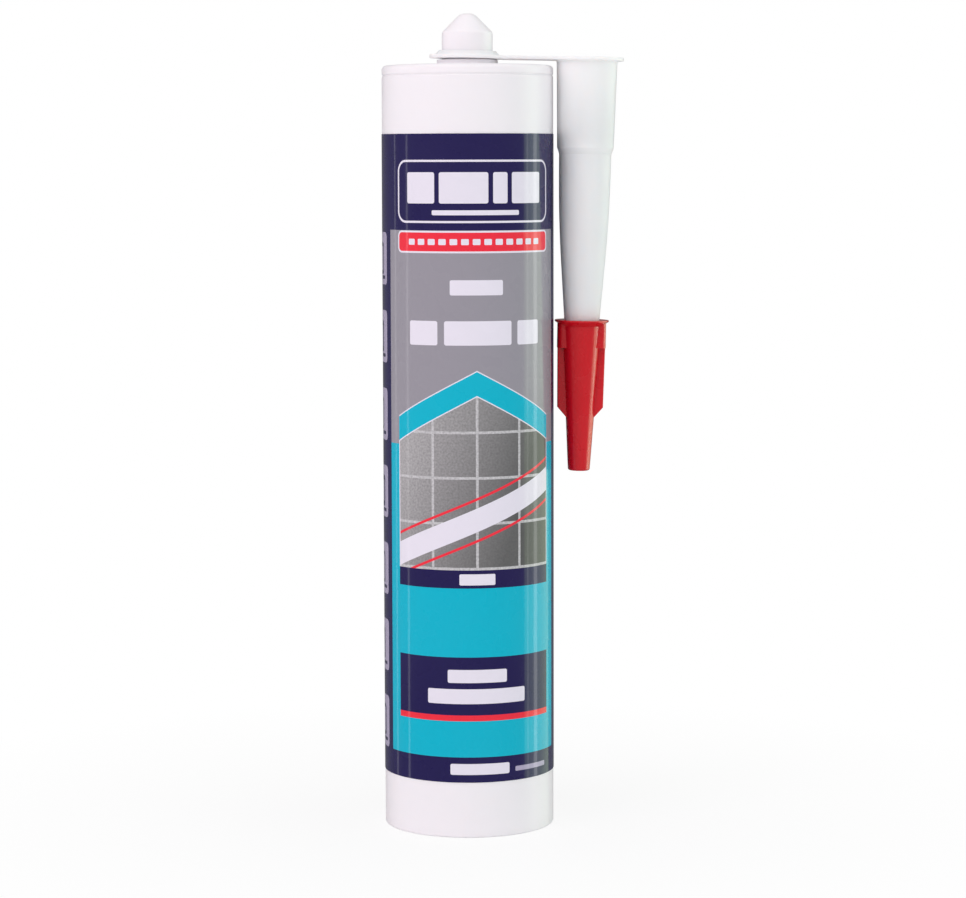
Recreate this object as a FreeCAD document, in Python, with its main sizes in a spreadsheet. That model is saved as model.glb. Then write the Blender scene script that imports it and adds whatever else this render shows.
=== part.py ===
"""Caulk cartridge with its spare nozzle hung beside it, as a parametric document.

Frame: millimetres, +Z up, origin at the centre of the barrel's open end, on the
barrel's axis.  The nozzle hangs on the +X side and the front of the print faces -Y.

Every corner of a sketch is a pair of expressions over the named sizes below.  In
those expressions a word that starts with a capital letter is a cell of the sheet.
"""

import FreeCAD, Part
import Sketcher
import math
import os
import re

# Driving dimensions: name, size (mm, degrees or a count) and what it is
SIZES = [
    ("BarrelRadius", 24.75, "outside of the barrel"),
    ("BarrelWall", 1.35, "wall of the barrel"),
    ("BarrelHeight", 221.2, "open end to shoulder"),
    ("MouthDepth", 17.0, "wider stretch at the open end, where the piston goes in"),
    ("MouthRelief", 0.25, "how much wider that stretch is, on the radius"),
    ("MouthTaper", 2.0, "length over which it narrows to the bore"),
    ("HeadWall", 1.9, "thickness of the head"),
    ("RimWidth", 3.2, "flat rim round the head"),
    ("DishDepth", 1.2, "how far the head lies below its rim"),
    ("ShoulderRound", 1.3, "rounding of the shoulder"),
    ("BaseRound", 0.4, "rounding of the open end"),
    ("DishRound", 0.4, "rounding of the dish's rim and of the seat collar"),
    ("GrooveDrop", 2.9, "shoulder to the middle of the fine ring groove"),
    ("GrooveWidth", 0.9, "width of that groove"),
    ("GrooveDepth", 0.3, "depth of that groove"),
    ("SeatCollar", 1.47, "collar at the foot of the neck, beyond the neck's radius"),
    ("SeatHeight", 1.7, "top of that collar above the shoulder"),
    ("NeckRadius", 7.33, "outside of the neck"),
    ("NeckWall", 1.5, "wall of the neck"),
    ("NeckHeight", 9.5, "shoulder to the corner where the closed nose starts"),
    ("NoseHeight", 5.4, "height of the closed conical nose"),
    ("NoseFlat", 1.93, "radius of the nose's top before rounding"),
    ("NoseBore", 1.3, "radius of the hollow under the nose's top"),
    ("NoseRound", 3.0, "rounding of the nose's top"),
    ("NeckRound", 1.6, "rounding between neck and nose"),
    ("LabelStart", 16.16, "open end to the label's lower edge"),
    ("LabelLength", 185.4, "height of the label"),
    ("LabelThickness", 0.12, "thickness of the label"),
    ("LabelLap", 6.0, "width of its glued lap at the back"),
    ("PistonRecess", 20.0, "open end to the piston's skirt"),
    ("PistonLength", 18.0, "length of the piston"),
    ("LipClearance", 0.08, "sealing lips to the bore, on the radius"),
    ("SkirtRelief", 0.8, "skirt between the lips, behind the lips' radius"),
    ("LipWidth", 1.2, "flat of each lip"),
    ("LipFlare", 1.4, "height over which a lip runs out into the skirt"),
    ("CrownDrop", 2.2, "bevel between the piston's face and its upper lip"),
    ("CrownBevel", 3.4, "width of that bevel"),
    ("PistonWall", 1.5, "wall of the piston"),
    ("PushRingRadius", 12.0, "inside of the ring that the rod's plate presses"),
    ("PushRingHeight", 8.0, "height of that ring"),
    ("RibCount", 8, "ribs between that ring and the skirt"),
    ("RibThickness", 1.2, "thickness of a rib"),
    ("RibHeight", 7.0, "height of a rib"),
    ("FillClearance", 0.1, "sealant to the barrel's wall and head"),
    ("FillGap", 0.3, "sealant to the piston's face"),
    ("PlateThickness", 1.0, "hanger plate, ring and flange"),
    ("HangTilt", 1.15, "lean of the hung nozzle, in degrees"),
    ("RingRest", 0.3, "hanger ring above its seat collar"),
    ("HangClearance", 0.32, "ring's hole to the neck, on the radius"),
    ("RingWidth", 3.31, "width of the hanger ring"),
    ("HubFoot", 1.85, "foot of the ring's flared lip, beyond its hole"),
    ("HubTop", 0.55, "width of the lip's top edge"),
    ("HubHeight", 1.25, "height of the lip above the plate"),
    ("BridgeWidth", 12.0, "web between the ring and the nozzle's flange"),
    ("BridgeRound", 4.0, "rounding where the web meets ring and flange"),
    ("PlateRound", 0.25, "rounding of the plate's outer edges"),
    ("HubRound", 0.15, "rounding of the lip's top edge"),
    ("NozzleGap", 1.05, "barrel to the nozzle's socket"),
    ("ThreadClearance", 0.12, "socket to the neck, on the radius"),
    ("SocketWall", 1.35, "wall of the socket under the flange"),
    ("SocketEndWall", 0.75, "wall of the socket at its lower end"),
    ("SocketLength", 25.0, "plate to the step under the socket"),
    ("SocketDepth", 22.5, "plate to the bottom of the socket's hole"),
    ("StepLength", 1.8, "height of the step under the socket"),
    ("FlangeWidth", 1.8, "flange beyond the socket"),
    ("FlangeRound", 0.7, "rounding under the flange"),
    ("StemRadius", 7.58, "nozzle just under the step"),
    ("StemTaper", 0.08, "loss of radius down to where the curve starts"),
    ("StemLength", 33.0, "plate to the start of the curve"),
    ("CurveRadius", 404.0, "radius of the curve between stem and cone"),
    ("ConeRadius", 6.4, "nozzle where the straight cone starts"),
    ("ConeStart", 58.0, "plate to the start of the straight cone"),
    ("NozzleLength", 117.1, "plate to the nozzle's tip"),
    ("TipRadius", 1.95, "outside of the tip"),
    ("NozzleWall", 1.15, "wall of the nozzle"),
    ("TipWall", 0.85, "wall at the tip"),
    ("CapLength", 44.0, "length of the cap"),
    ("CapClearance", 0.15, "cap to the nozzle, on the radius"),
    ("CapTipGap", 0.4, "nozzle's tip to the bottom of the cap's hole"),
    ("CapEndWall", 1.3, "closed end of the cap"),
    ("CapRimWidth", 2.6, "rim round the cap's mouth, beyond its hole"),
    ("CapRimEdge", 0.45, "thickness of that rim at its edge"),
    ("CapRimRound", 0.15, "rounding of that rim's edge"),
    ("CapRimFlare", 1.3, "height over which the rim runs into the collar"),
    ("CapCollarWall", 1.78, "reach of the collar's two pads beyond the hole"),
    ("CapCollarLength", 8.1, "mouth to the foot of the pads"),
    ("CollarThickness", 6.4, "front to back of the pads"),
    ("CollarRound", 1.8, "rounding of the pads' outer edges"),
    ("CapTaperWall", 0.65, "wall where the tapered part starts, under the rim"),
    ("CapTaperLength", 29.1, "mouth to the waist"),
    ("CapWaistWall", 0.98, "wall at the waist"),
    ("CapSideWall", 1.08, "wall at the closed end"),
    ("CapEndRound", 0.7, "rounding of the closed end"),
    ("WingThickness", 2.8, "thickness of each grip wing"),
    ("WingInset", 0.03, "wing's top and foot inside the collar's pads and the waist"),
    ("WingTaper", 0.37, "loss of reach down to the wing's bevel"),
    ("WingLength", 25.45, "mouth to the wing's bevel"),
    ("WingBevel", 2.95, "height of the wing's bevel"),
    ("WingRound", 0.3, "rounding of the wings' outer edges"),
]

# Sizes that follow from the driving dimensions
BORE = "(BarrelRadius - BarrelWall)"
DISH_FLOOR = "(BarrelHeight - DishDepth)"
HEAD_INSIDE = "(BarrelHeight - DishDepth - HeadWall)"
SEAT_RADIUS = "(NeckRadius + SeatCollar)"
SEAT_TOP = "(BarrelHeight + SeatHeight)"
NOSE_START = "(BarrelHeight + NeckHeight)"
NECK_TOP = "(BarrelHeight + NeckHeight + NoseHeight)"
NECK_BORE = "(NeckRadius - NeckWall)"

LIP_RADIUS = "(BarrelRadius - BarrelWall - LipClearance)"
SKIRT_RADIUS = "(BarrelRadius - BarrelWall - LipClearance - SkirtRelief)"
SKIRT_INSIDE = "(BarrelRadius - BarrelWall - LipClearance - SkirtRelief - PistonWall)"
FACE_UNDERSIDE = "(PistonLength - CrownDrop - PistonWall)"
PUSH_RING_OUTSIDE = "(PushRingRadius + PistonWall)"

HOLE_RADIUS = "(NeckRadius + HangClearance)"
RING_RADIUS = "(NeckRadius + HangClearance + RingWidth)"
SOCKET_BORE = "(NeckRadius + ThreadClearance)"
SOCKET_RADIUS = "(NeckRadius + ThreadClearance + SocketWall)"
SOCKET_END = "(NeckRadius + ThreadClearance + SocketEndWall)"
FLANGE_RADIUS = "(NeckRadius + ThreadClearance + SocketWall + FlangeWidth)"
HANGER_PITCH = "(BarrelRadius + NozzleGap + NeckRadius + ThreadClearance + SocketWall)"
STEM_TOP = "(SocketLength + StepLength)"
STEM_END = "(StemRadius - StemTaper)"

CAP_HOLE_END = "(NozzleLength + CapTipGap)"
CAP_END = "(NozzleLength + CapTipGap + CapEndWall)"
CAP_MOUTH = "(NozzleLength + CapTipGap + CapEndWall - CapLength)"

# How far a cutting outline runs past the face that it cuts through
OVERRUN = 1.0

doc = FreeCAD.newDocument("caulk_cartridge")


def make_sheet():
    """Write the driving dimensions into the sheet, one alias per row."""
    sheet = doc.addObject("Spreadsheet::Sheet", "Sizes")
    for row, (name, size, meaning) in enumerate(SIZES, start=1):
        sheet.set(f"A{row}", name)
        sheet.set(f"B{row}", str(size))
        sheet.set(f"C{row}", meaning)
        sheet.setAlias(f"B{row}", name)
    doc.recompute()
    return sheet


sheet = make_sheet()


def bind(text):
    """Give each capitalised word of an expression its place in the sheet."""
    return re.sub(r"\b([A-Z]\w+)", r"Sizes.\1", text)


def size(text):
    """Work out an expression over the named sizes as a plain number."""
    return float(sheet.evalExpression(bind(text)))


def new_body(name):
    """Add a body whose label is the piece's name."""
    body = doc.addObject("PartDesign::Body", name)
    body.Label = name
    return body


def new_sketch(body, name, role="XZ_Plane", shift=None):
    """Add a sketch on one of the body's own planes, shifted along its X if asked."""
    sketch = body.newObject("Sketcher::SketchObject", name)
    plane = [feature for feature in body.Origin.OriginFeatures if feature.Role == role][0]
    sketch.AttachmentSupport = (plane, [""])
    sketch.MapMode = "FlatFace"
    if shift:
        sketch.setExpression("AttachmentOffset.Base.x", bind(shift))
    doc.recompute()
    return sketch


def draw_outline(sketch, corners, arcs=None):
    """Draw a closed outline.

    corners are (across, up) expressions.  arcs gives, by the number of the corner
    that a side starts from, the radius of that side and the sign of its bulge
    along the sketch's X.
    """
    arcs = arcs or {}
    points = [FreeCAD.Vector(size(across), size(up), 0) for across, up in corners]
    count = len(points)
    ends = []
    for index, start in enumerate(points):
        finish = points[(index + 1) % count]
        if index in arcs:
            radius, bulge = arcs[index]
            middle = arc_middle(start, finish, size(radius), bulge)
            forward = middle.sub(start).cross(finish.sub(middle)).z > 0
            side = Part.Arc(start, middle, finish) if forward else Part.Arc(finish, middle, start)
        else:
            forward = True
            side = Part.LineSegment(start, finish)
        number = sketch.addGeometry(side, False)
        ends.append((number, 1, 2) if forward else (number, 2, 1))
    for index, (number, _, last) in enumerate(ends):
        following, first, _ = ends[(index + 1) % count]
        sketch.addConstraint(Sketcher.Constraint("Coincident", number, last, following, first))
    for index, (number, first, _) in enumerate(ends):
        across, up = corners[index]
        place_corner(sketch, "DistanceX", number, first, across, points[index].x)
        place_corner(sketch, "DistanceY", number, first, up, points[index].y)
        if index in arcs:
            radius = arcs[index][0]
            rule = sketch.addConstraint(Sketcher.Constraint("Radius", number, size(radius)))
            sketch.setExpression(f"Constraints[{rule}]", bind(radius))
    doc.recompute()


def place_corner(sketch, kind, number, end, expression, value):
    """Hold one end of a side at a distance from the sketch's origin."""
    rule = sketch.addConstraint(Sketcher.Constraint(kind, -1, 1, number, end, value))
    sketch.setExpression(f"Constraints[{rule}]", bind(expression))


def arc_middle(start, finish, radius, bulge):
    """Middle point of an arc over a chord, bulging to the given side along X."""
    chord = finish.sub(start)
    half = chord.Length / 2
    rise = radius - math.sqrt(radius**2 - half**2)
    across = FreeCAD.Vector(-chord.y, chord.x, 0).normalize()
    if across.x * bulge < 0:
        across = across.negative()
    return start.add(chord.multiply(0.5)).add(across.multiply(rise))


def revolve(body, name, corners, arcs=None, shift=None, angle=None):
    """Turn an outline of (radius, height) corners into a solid of revolution."""
    sketch = new_sketch(body, name + "_outline", shift=shift)
    draw_outline(sketch, corners, arcs)
    feature = body.newObject("PartDesign::Revolution", name)
    feature.Profile = sketch
    feature.ReferenceAxis = (sketch, ["V_Axis"])
    feature.Angle = 360
    if angle:
        feature.setExpression("Angle", bind(angle))
    finish_feature(body, feature)
    return feature


def turn_out(body, name, corners, arcs=None, shift=None):
    """Cut an outline of (radius, height) corners out of the body all round."""
    sketch = new_sketch(body, name + "_outline", shift=shift)
    draw_outline(sketch, corners, arcs)
    before = body.Shape.Volume
    feature = body.newObject("PartDesign::Groove", name)
    feature.Profile = sketch
    feature.ReferenceAxis = (sketch, ["V_Axis"])
    feature.Angle = 360
    finish_feature(body, feature)
    if body.Shape.Volume >= before:
        raise RuntimeError(f"{name} cuts nothing")
    return feature


def pad(body, name, corners, depth, role="XZ_Plane", both_sides=False, shift=None):
    """Raise an outline into a slab of the given depth."""
    sketch = new_sketch(body, name + "_outline", role, shift)
    draw_outline(sketch, corners)
    feature = body.newObject("PartDesign::Pad", name)
    feature.Profile = sketch
    feature.setExpression("Length", bind(depth))
    if both_sides:
        feature.SideType = "Symmetric"
    finish_feature(body, feature)
    return feature


def round_rings(body, name, radius, rings):
    """Round the circular edges at the given (radius, height) places."""
    before = body.Tip
    places = [(size(across), size(up)) for across, up in rings]
    names = []
    for number, edge in enumerate(before.Shape.Edges, start=1):
        curve = edge.Curve
        if not isinstance(curve, Part.Circle):
            continue
        for across, up in places:
            if abs(curve.Radius - across) < 1e-4 and abs(curve.Center.z - up) < 1e-4:
                names.append(f"Edge{number}")
    if len(names) < len(places):
        raise RuntimeError(f"{name}: an edge to round is missing")
    return round_edges(body, name, radius, names)


def round_edges(body, name, radius, names):
    """Round the named edges of the body's last feature."""
    before = body.Tip
    feature = body.newObject("PartDesign::Fillet", name)
    feature.Base = (before, names)
    feature.setExpression("Radius", bind(radius))
    finish_feature(body, feature)
    return feature


def finish_feature(body, feature):
    """Make a feature the body's tip and stop if it failed."""
    body.Tip = feature
    doc.recompute()
    if "Invalid" in feature.State or "Error" in feature.State or feature.Shape.isNull():
        raise RuntimeError(f"{feature.Name} failed: {feature.State}")


def nozzle_radius(depth):
    """Outside radius of the nozzle's straight cone at a depth below the plate."""
    slope = "(ConeRadius - TipRadius) / (NozzleLength - ConeStart)"
    return f"(ConeRadius - ({depth} - ConeStart) * {slope})"


def hang(body):
    """Place a piece of the hung nozzle: on the plate's underside, at the nozzle's axis."""
    body.Placement = FreeCAD.Placement(FreeCAD.Vector(), FreeCAD.Rotation(FreeCAD.Vector(0, 1, 0), 1))
    body.setExpression("Placement.Rotation.Angle", bind("HangTilt"))
    body.setExpression("Placement.Base.x", bind(f"{HANGER_PITCH} * cos(HangTilt * 1deg)"))
    drop = f"{HANGER_PITCH} * sin(HangTilt * 1deg)"
    body.setExpression("Placement.Base.z", bind(f"{SEAT_TOP} + RingRest - {drop}"))


def make_barrel():
    """Barrel, head and closed neck in one moulding."""
    body = new_body("barrel")
    groove = "(BarrelHeight - GrooveDrop)"
    corners = [
        (f"{BORE} + MouthRelief", "0"),
        ("BarrelRadius", "0"),
        ("BarrelRadius", f"{groove} - GrooveWidth / 2"),
        ("BarrelRadius - GrooveDepth", groove),
        ("BarrelRadius", f"{groove} + GrooveWidth / 2"),
        ("BarrelRadius", "BarrelHeight"),
        ("BarrelRadius - RimWidth", "BarrelHeight"),
        ("BarrelRadius - RimWidth", DISH_FLOOR),
        (SEAT_RADIUS, DISH_FLOOR),
        (SEAT_RADIUS, SEAT_TOP),
        ("NeckRadius", SEAT_TOP),
        ("NeckRadius", NOSE_START),
        ("NoseFlat", NECK_TOP),
        ("0", NECK_TOP),
        ("0", f"{NECK_TOP} - NeckWall"),
        ("NoseBore", f"{NECK_TOP} - NeckWall"),
        (NECK_BORE, f"{NOSE_START} - NeckWall / 2"),
        (NECK_BORE, HEAD_INSIDE),
        (BORE, HEAD_INSIDE),
        (BORE, "MouthDepth + MouthTaper"),
        (f"{BORE} + MouthRelief", "MouthDepth"),
    ]
    revolve(body, "barrel_wall", corners)
    round_rings(body, "shoulder_round", "ShoulderRound", [("BarrelRadius", "BarrelHeight")])
    round_rings(body, "base_round", "BaseRound", [("BarrelRadius", "0")])
    dish_rings = [("BarrelRadius - RimWidth", "BarrelHeight"), (SEAT_RADIUS, SEAT_TOP)]
    round_rings(body, "dish_round", "DishRound", dish_rings)
    round_rings(body, "neck_round", "NeckRound", [("NeckRadius", NOSE_START)])
    round_rings(body, "nose_round", "NoseRound", [("NoseFlat", NECK_TOP)])
    return body


def make_label():
    """Printed film wrapped round the barrel, with its glued lap at the back."""
    body = new_body("label")
    outside = "(BarrelRadius + LabelThickness)"
    top = "(LabelStart + LabelLength)"
    wrap = [
        ("BarrelRadius", "LabelStart"),
        (outside, "LabelStart"),
        (outside, top),
        ("BarrelRadius", top),
    ]
    revolve(body, "wrap", wrap)
    lap = [
        (f"{outside} - LabelThickness / 2", "LabelStart"),
        (f"{outside} + LabelThickness", "LabelStart"),
        (f"{outside} + LabelThickness", top),
        (f"{outside} - LabelThickness / 2", top),
    ]
    revolve(body, "lap", lap, angle="LabelLap / BarrelRadius * 180 / pi")
    to_the_back = 100.0
    body.Placement = FreeCAD.Placement(
        FreeCAD.Vector(), FreeCAD.Rotation(FreeCAD.Vector(0, 0, 1), to_the_back)
    )
    return body


def make_piston():
    """Follower piston: bevelled face, two sealing lips, push ring and ribs behind."""
    body = new_body("piston")
    upper_lip = "(PistonLength - CrownDrop)"
    corners = [
        ("0", "PistonLength"),
        (f"{LIP_RADIUS} - CrownBevel", "PistonLength"),
        (LIP_RADIUS, upper_lip),
        (LIP_RADIUS, f"{upper_lip} - LipWidth"),
        (SKIRT_RADIUS, f"{upper_lip} - LipWidth - LipFlare"),
        (SKIRT_RADIUS, "LipWidth + LipFlare"),
        (LIP_RADIUS, "LipWidth"),
        (LIP_RADIUS, "0"),
        (SKIRT_INSIDE, "0"),
        (SKIRT_INSIDE, FACE_UNDERSIDE),
        (PUSH_RING_OUTSIDE, FACE_UNDERSIDE),
        (PUSH_RING_OUTSIDE, f"{FACE_UNDERSIDE} - PushRingHeight"),
        ("PushRingRadius", f"{FACE_UNDERSIDE} - PushRingHeight"),
        ("PushRingRadius", "PistonLength - PistonWall"),
        ("0", "PistonLength - PistonWall"),
    ]
    revolve(body, "piston_wall", corners)
    rib = [
        (f"{PUSH_RING_OUTSIDE} - PistonWall / 2", f"{FACE_UNDERSIDE} - RibHeight"),
        (f"{SKIRT_INSIDE} + PistonWall / 2", f"{FACE_UNDERSIDE} - RibHeight"),
        (f"{SKIRT_INSIDE} + PistonWall / 2", f"{FACE_UNDERSIDE} + PistonWall / 2"),
        (f"{PUSH_RING_OUTSIDE} - PistonWall / 2", f"{FACE_UNDERSIDE} + PistonWall / 2"),
    ]
    first_rib = pad(body, "rib", rib, "RibThickness", both_sides=True)
    ribs = body.newObject("PartDesign::PolarPattern", "ribs")
    ribs.Originals = [first_rib]
    upright = [feature for feature in body.Origin.OriginFeatures if feature.Role == "Z_Axis"][0]
    ribs.Axis = (upright, [""])
    ribs.Angle = 360
    ribs.setExpression("Occurrences", bind("RibCount"))
    finish_feature(body, ribs)
    body.setExpression("Placement.Base.z", bind("PistonRecess"))
    return body


def make_sealant():
    """The paste between the piston's face and the inside of the head."""
    body = new_body("sealant")
    floor = "(PistonRecess + PistonLength + FillGap)"
    side = f"({BORE} - FillClearance)"
    corners = [
        ("0", floor),
        (f"{LIP_RADIUS} - CrownBevel", floor),
        (side, f"{floor} - CrownDrop"),
        (side, f"{HEAD_INSIDE} - FillClearance"),
        ("0", f"{HEAD_INSIDE} - FillClearance"),
    ]
    revolve(body, "paste", corners)
    return body


def make_nozzle():
    """Nozzle, flange, web and hanger ring in one moulding, drawn hanging straight."""
    body = new_body("nozzle")
    outside = [
        ("0", "PlateThickness"),
        (FLANGE_RADIUS, "PlateThickness"),
        (FLANGE_RADIUS, "0"),
        (SOCKET_RADIUS, "0"),
        (SOCKET_END, "-SocketLength"),
        ("StemRadius", f"-{STEM_TOP}"),
        (STEM_END, "-StemLength"),
        ("ConeRadius", "-ConeStart"),
        ("TipRadius", "-NozzleLength"),
        ("0", "-NozzleLength"),
    ]
    revolve(body, "nozzle_outside", outside, arcs={6: ("CurveRadius", 1)})
    round_rings(body, "flange_round", "FlangeRound", [(SOCKET_RADIUS, "0")])

    to_ring = f"-{HANGER_PITCH}"
    ring = [
        ("0", "0"),
        (RING_RADIUS, "0"),
        (RING_RADIUS, "PlateThickness"),
        (f"{HOLE_RADIUS} + HubFoot", "PlateThickness"),
        (f"{HOLE_RADIUS} + HubTop", "PlateThickness + HubHeight"),
        ("0", "PlateThickness + HubHeight"),
    ]
    web = [
        (to_ring, "-BridgeWidth / 2"),
        ("0", "-BridgeWidth / 2"),
        ("0", "BridgeWidth / 2"),
        (to_ring, "BridgeWidth / 2"),
    ]
    pad(body, "web", web, "PlateThickness", role="XY_Plane")
    revolve(body, "hanger_ring", ring, shift=to_ring)
    round_web_corners(body)
    round_plate(body)

    hole = [
        ("0", f"-{OVERRUN}"),
        (HOLE_RADIUS, f"-{OVERRUN}"),
        (HOLE_RADIUS, f"PlateThickness + HubHeight + {OVERRUN}"),
        ("0", f"PlateThickness + HubHeight + {OVERRUN}"),
    ]
    turn_out(body, "ring_hole", hole, shift=to_ring)
    hub_top = (f"{HOLE_RADIUS} + HubTop", "PlateThickness + HubHeight")
    round_rings(body, "hub_round", "HubRound", [hub_top])

    inside = [
        ("0", f"PlateThickness + {OVERRUN}"),
        (SOCKET_BORE, f"PlateThickness + {OVERRUN}"),
        (SOCKET_BORE, "-SocketDepth"),
        ("StemRadius - NozzleWall", f"-{STEM_TOP}"),
        (f"{STEM_END} - NozzleWall", "-StemLength"),
        ("ConeRadius - NozzleWall", "-ConeStart"),
        ("TipRadius - TipWall", "-NozzleLength"),
        ("TipRadius - TipWall", f"-NozzleLength - {OVERRUN}"),
        ("0", f"-NozzleLength - {OVERRUN}"),
    ]
    turn_out(body, "nozzle_inside", inside, arcs={4: ("CurveRadius", 1)})
    hang(body)
    return body


def round_web_corners(body):
    """Round the upright corners where the web runs into the ring and the flange."""
    half_width = size("BridgeWidth / 2")
    thickness = size("PlateThickness")
    names = []
    for number, edge in enumerate(body.Tip.Shape.Edges, start=1):
        box = edge.BoundBox
        upright = box.XLength < 1e-4 and box.YLength < 1e-4
        at_web = abs(abs(box.YMax) - half_width) < 1e-4
        if upright and at_web and abs(box.ZLength - thickness) < 1e-4:
            names.append(f"Edge{number}")
    return round_edges(body, "web_corners", "BridgeRound", names)


def round_plate(body):
    """Round the outer edges of flange, web and ring, above and below."""
    levels = (0.0, size("PlateThickness"))
    flange = FreeCAD.Vector(0, 0, 0)
    ring = FreeCAD.Vector(-size(HANGER_PITCH), 0, 0)
    names = []
    for number, edge in enumerate(body.Tip.Shape.Edges, start=1):
        box = edge.BoundBox
        level = min(abs(box.ZMin - height) for height in levels)
        middle = edge.valueAt((edge.FirstParameter + edge.LastParameter) / 2)
        middle.z = 0
        past_flange = middle.distanceToPoint(flange) > size(FLANGE_RADIUS) - 1e-4
        past_ring = middle.distanceToPoint(ring) > size(RING_RADIUS) - 1e-4
        if box.ZLength < 1e-4 and level < 1e-4 and past_flange and past_ring:
            names.append(f"Edge{number}")
    return round_edges(body, "plate_round", "PlateRound", names)


def make_cap():
    """Push-on cap: rim, collar of two rounded pads, two grip wings and a closed cone."""
    body = new_body("nozzle_cap")
    hole_at_mouth = f"({nozzle_radius(CAP_MOUTH)} + CapClearance)"
    taper_top = f"({CAP_MOUTH} + CapRimEdge + CapRimFlare)"
    waist = f"({CAP_MOUTH} + CapTaperLength)"
    waist_radius = f"({nozzle_radius(waist)} + CapClearance + CapWaistWall)"
    collar_reach = f"({hole_at_mouth} + CapCollarWall)"
    wing_corner = f"-{CAP_MOUTH} - WingLength"
    wing_foot = f"-{CAP_MOUTH} - WingLength - WingBevel"
    reach = f"({collar_reach} - WingInset)"
    wings = [
        (f"-{reach}", f"-{taper_top}"),
        (reach, f"-{taper_top}"),
        (f"{reach} - WingTaper", wing_corner),
        (f"{waist_radius} - WingInset", wing_foot),
        (f"-({waist_radius} - WingInset)", wing_foot),
        (f"-{reach} + WingTaper", wing_corner),
    ]
    pad(body, "wings", wings, "WingThickness", both_sides=True)
    round_sides(body, "wing_round", "WingThickness", "WingRound")

    collar_top = f"-{CAP_MOUTH} - CapRimEdge / 2"
    collar_foot = f"-{CAP_MOUTH} - CapCollarLength"
    collar = [
        (f"-{collar_reach}", collar_top),
        (collar_reach, collar_top),
        (collar_reach, collar_foot),
        (f"-{collar_reach}", collar_foot),
    ]
    pad(body, "collar", collar, "CollarThickness", both_sides=True)
    round_sides(body, "collar_round", "CollarThickness", "CollarRound")

    outside = [
        ("0", f"-{CAP_MOUTH}"),
        (f"{hole_at_mouth} + CapRimWidth", f"-{CAP_MOUTH}"),
        (f"{hole_at_mouth} + CapRimWidth", f"-{CAP_MOUTH} - CapRimEdge"),
        (f"{nozzle_radius(taper_top)} + CapClearance + CapTaperWall", f"-{taper_top}"),
        (waist_radius, f"-{waist}"),
        ("TipRadius + CapClearance + CapSideWall", f"-{CAP_END}"),
        ("0", f"-{CAP_END}"),
    ]
    revolve(body, "cap_outside", outside)
    end_ring = ("TipRadius + CapClearance + CapSideWall", f"-{CAP_END}")
    round_rings(body, "cap_end_round", "CapEndRound", [end_ring])
    rim_edge = f"{hole_at_mouth} + CapRimWidth"
    rim_rings = [(rim_edge, f"-{CAP_MOUTH}"), (rim_edge, f"-{CAP_MOUTH} - CapRimEdge")]
    round_rings(body, "cap_rim_round", "CapRimRound", rim_rings)

    hole = [
        ("0", f"-{CAP_MOUTH} + {OVERRUN}"),
        (f"{nozzle_radius(f'({CAP_MOUTH} - {OVERRUN})')} + CapClearance", f"-{CAP_MOUTH} + {OVERRUN}"),
        ("TipRadius + CapClearance", "-NozzleLength"),
        ("TipRadius + CapClearance", f"-{CAP_HOLE_END}"),
        ("0", f"-{CAP_HOLE_END}"),
    ]
    turn_out(body, "cap_hole", hole)
    hang(body)
    return body


def round_sides(body, name, thickness, radius):
    """Round the straight outer edges of slabs that stand out to both sides."""
    half = size(thickness + " / 2")
    names = []
    for number, edge in enumerate(body.Tip.Shape.Edges, start=1):
        if not isinstance(edge.Curve, Part.Line):
            continue
        on_side = all(abs(abs(vertex.Point.y) - half) < 1e-4 for vertex in edge.Vertexes)
        same_side = edge.BoundBox.YLength < 1e-4
        if on_side and same_side and edge.BoundBox.ZLength > 1e-4:
            names.append(f"Edge{number}")
    return round_edges(body, name, radius, names)


def write_pieces(pieces):
    """Check every object of the document, then write each piece to its own file."""
    doc.recompute()
    for thing in doc.Objects:
        if "Invalid" in thing.State or "Error" in thing.State:
            raise RuntimeError(f"{thing.Name} is not sound: {thing.State}")
    for piece in pieces:
        if piece.Shape.isNull() or not piece.Shape.isValid():
            raise RuntimeError(f"{piece.Label} has no valid shape")
    os.makedirs("parts", exist_ok=True)
    for piece in pieces:
        piece.Shape.exportStep(f"parts/{piece.Label}.step")
        box = piece.Shape.optimalBoundingBox(False)
        print(
            f"{piece.Label}: {len(piece.Shape.Solids)} solid, {piece.Shape.Volume / 1000:.2f} ml, "
            f"x {box.XMin:.2f} to {box.XMax:.2f}, z {box.ZMin:.2f} to {box.ZMax:.2f}"
        )


write_pieces([
    make_barrel(),
    make_label(),
    make_piston(),
    make_sealant(),
    make_nozzle(),
    make_cap(),
])
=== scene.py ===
"""Looks of a caulk cartridge that stands on its rim with its nozzle hung beside it.

The cartridge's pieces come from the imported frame.  Each sub-assembly is a class that
builds or dresses its pieces, each finish is a small frozen class, and Studio holds the
floor, lamps and camera.  Lengths are metres; MM turns the millimetres of a drawing
into metres, and the print on the label is laid out in millimetres.
"""

import logging
import math
from dataclasses import dataclass, field
from enum import Enum

import bpy
from mathutils import Matrix, Vector


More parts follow.
